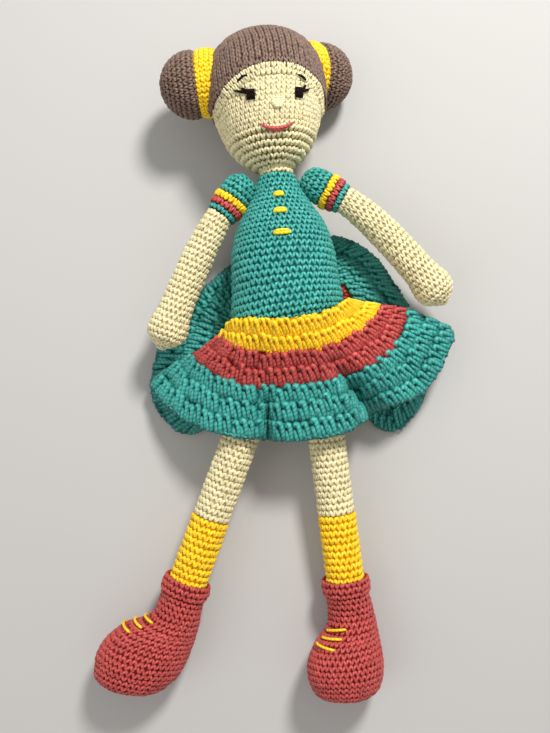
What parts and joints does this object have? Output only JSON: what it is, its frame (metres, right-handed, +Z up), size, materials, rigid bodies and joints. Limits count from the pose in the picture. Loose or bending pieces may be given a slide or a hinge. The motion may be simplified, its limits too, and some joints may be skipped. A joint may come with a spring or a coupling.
{
  "type": "crocheted doll",
  "caption": "Crocheted girl doll with side buns, puff sleeves, a striped ruffle skirt, yellow socks and coral boots, jointed at neck, shoulders, hips and skirt.",
  "frame": {"origin": "middle of the footprint, on the floor that the doll lies on", "axes": "+X towards the doll's left side, +Y towards the crown of its head, +Z up from the floor, out of its face. left_ and right_ in the node names are the doll's own sides."},
  "size_m": [0.2148, 0.3694, 0.0657],
  "materials": {
    "cream_yarn": "matt",
    "brown_yarn": "matt",
    "teal_yarn": "matt",
    "yellow_yarn": "matt",
    "coral_yarn": "matt",
    "dark_yarn": "matt",
    "fibrefill": "soft"
  },
  "bodies": {
    "torso": {"torso": "teal_yarn", "torso_stuffing": "fibrefill", "button_stitch_1": "yellow_yarn", "button_stitch_2": "yellow_yarn", "button_stitch_3": "yellow_yarn", "skirt_back_yellow": "yellow_yarn", "skirt_back_red": "coral_yarn", "skirt_back_teal": "teal_yarn"},
    "neck": {"neck": "cream_yarn"},
    "head": {"head": "cream_yarn", "head_stuffing": "fibrefill", "hair_cap": "brown_yarn", "right_bun": "brown_yarn", "right_hair_tie": "yellow_yarn", "left_bun": "brown_yarn", "left_hair_tie": "yellow_yarn", "right_eye": "dark_yarn", "right_lashes": "dark_yarn", "right_brow": "dark_yarn", "left_eye": "dark_yarn", "left_lashes": "dark_yarn", "left_brow": "dark_yarn", "nose": "cream_yarn", "mouth": "coral_yarn"},
    "skirt_front": {"skirt_front_yellow": "yellow_yarn", "skirt_front_red": "coral_yarn", "skirt_front_teal": "teal_yarn"},
    "right_shoulder": {"right_shoulder_seam": "teal_yarn"},
    "right_arm": {"right_sleeve_puff": "teal_yarn", "right_sleeve_yellow_band": "yellow_yarn", "right_sleeve_red_band": "coral_yarn", "right_sleeve_cuff": "teal_yarn", "right_arm": "cream_yarn", "right_arm_stuffing": "fibrefill"},
    "left_shoulder": {"left_shoulder_seam": "teal_yarn"},
    "left_arm": {"left_sleeve_puff": "teal_yarn", "left_sleeve_yellow_band": "yellow_yarn", "left_sleeve_red_band": "coral_yarn", "left_sleeve_cuff": "teal_yarn", "left_arm": "cream_yarn", "left_arm_stuffing": "fibrefill"},
    "right_hip": {"right_hip_seam": "cream_yarn"},
    "right_leg": {"right_leg": "cream_yarn", "right_sock": "yellow_yarn", "right_boot": "coral_yarn", "right_boot_cuff": "coral_yarn", "right_leg_stuffing": "fibrefill", "right_lace_stitch_1": "yellow_yarn", "right_lace_stitch_2": "yellow_yarn", "right_lace_stitch_3": "yellow_yarn"},
    "left_hip": {"left_hip_seam": "cream_yarn"},
    "left_leg": {"left_leg": "cream_yarn", "left_sock": "yellow_yarn", "left_boot": "coral_yarn", "left_boot_cuff": "coral_yarn", "left_leg_stuffing": "fibrefill", "left_lace_stitch_1": "yellow_yarn", "left_lace_stitch_2": "yellow_yarn", "left_lace_stitch_3": "yellow_yarn"}
  },
  "joints": [
    {"name": "neck_turn", "type": "hinge", "parent": "torso", "child": "neck", "pos_m": [0.01195, 0.10619, 0.032], "axis": [0, 1, 0], "range_deg": [-35, 35]},
    {"name": "head_nod", "type": "hinge", "parent": "neck", "child": "head", "pos_m": [0.01195, 0.10619, 0.032], "axis": [1, 0, 0], "range_deg": [-10, 20]},
    {"name": "right_arm_raise", "type": "hinge", "parent": "torso", "child": "right_shoulder", "pos_m": [-0.00975, 0.09619, 0.032], "axis": [0, 0, -1], "range_deg": [-2, 100]},
    {"name": "right_arm_lift", "type": "hinge", "parent": "right_shoulder", "child": "right_arm", "pos_m": [-0.00975, 0.09619, 0.032], "axis": [-0.873, 0.4877, 0], "range_deg": [0, 70]},
    {"name": "left_arm_raise", "type": "hinge", "parent": "torso", "child": "left_shoulder", "pos_m": [0.03365, 0.09619, 0.032], "axis": [0, 0, 1], "range_deg": [-3, 85]},
    {"name": "left_arm_lift", "type": "hinge", "parent": "left_shoulder", "child": "left_arm", "pos_m": [0.03365, 0.09619, 0.032], "axis": [-0.7125, -0.7017, 0], "range_deg": [0, 70]},
    {"name": "right_leg_spread", "type": "hinge", "parent": "torso", "child": "right_hip", "pos_m": [-0.00155, -0.00059, 0.028], "axis": [0, 0, -1], "range_deg": [-15, 25]},
    {"name": "right_leg_fold", "type": "hinge", "parent": "right_hip", "child": "right_leg", "pos_m": [-0.00155, -0.00059, 0.028], "axis": [-0.9085, 0.4179, 0], "range_deg": [0, 70], "deforming": ["skirt_front_yellow", "skirt_front_red", "skirt_front_teal"]},
    {"name": "left_leg_spread", "type": "hinge", "parent": "torso", "child": "left_hip", "pos_m": [0.02545, 0.00417, 0.028], "axis": [0, 0, 1], "range_deg": [0, 40]},
    {"name": "left_leg_fold", "type": "hinge", "parent": "left_hip", "child": "left_leg", "pos_m": [0.02545, 0.00417, 0.028], "axis": [-0.9985, -0.0541, 0], "range_deg": [0, 70], "deforming": ["skirt_front_yellow", "skirt_front_red", "skirt_front_teal"]},
    {"name": "skirt_lift", "type": "hinge", "parent": "torso", "child": "skirt_front", "pos_m": [0.01195, 0.01819, 0.055], "axis": [-1, 0, 0], "range_deg": [0, 75], "deforming": ["skirt_front_yellow", "skirt_front_red", "skirt_front_teal"]}
  ],
  "couplings": [
    {"joint": "left_leg_fold", "follows": "right_leg_fold", "ratio": 1},
    {"joint": "skirt_lift", "follows": "right_leg_fold", "ratio": 1.05}
  ]
}
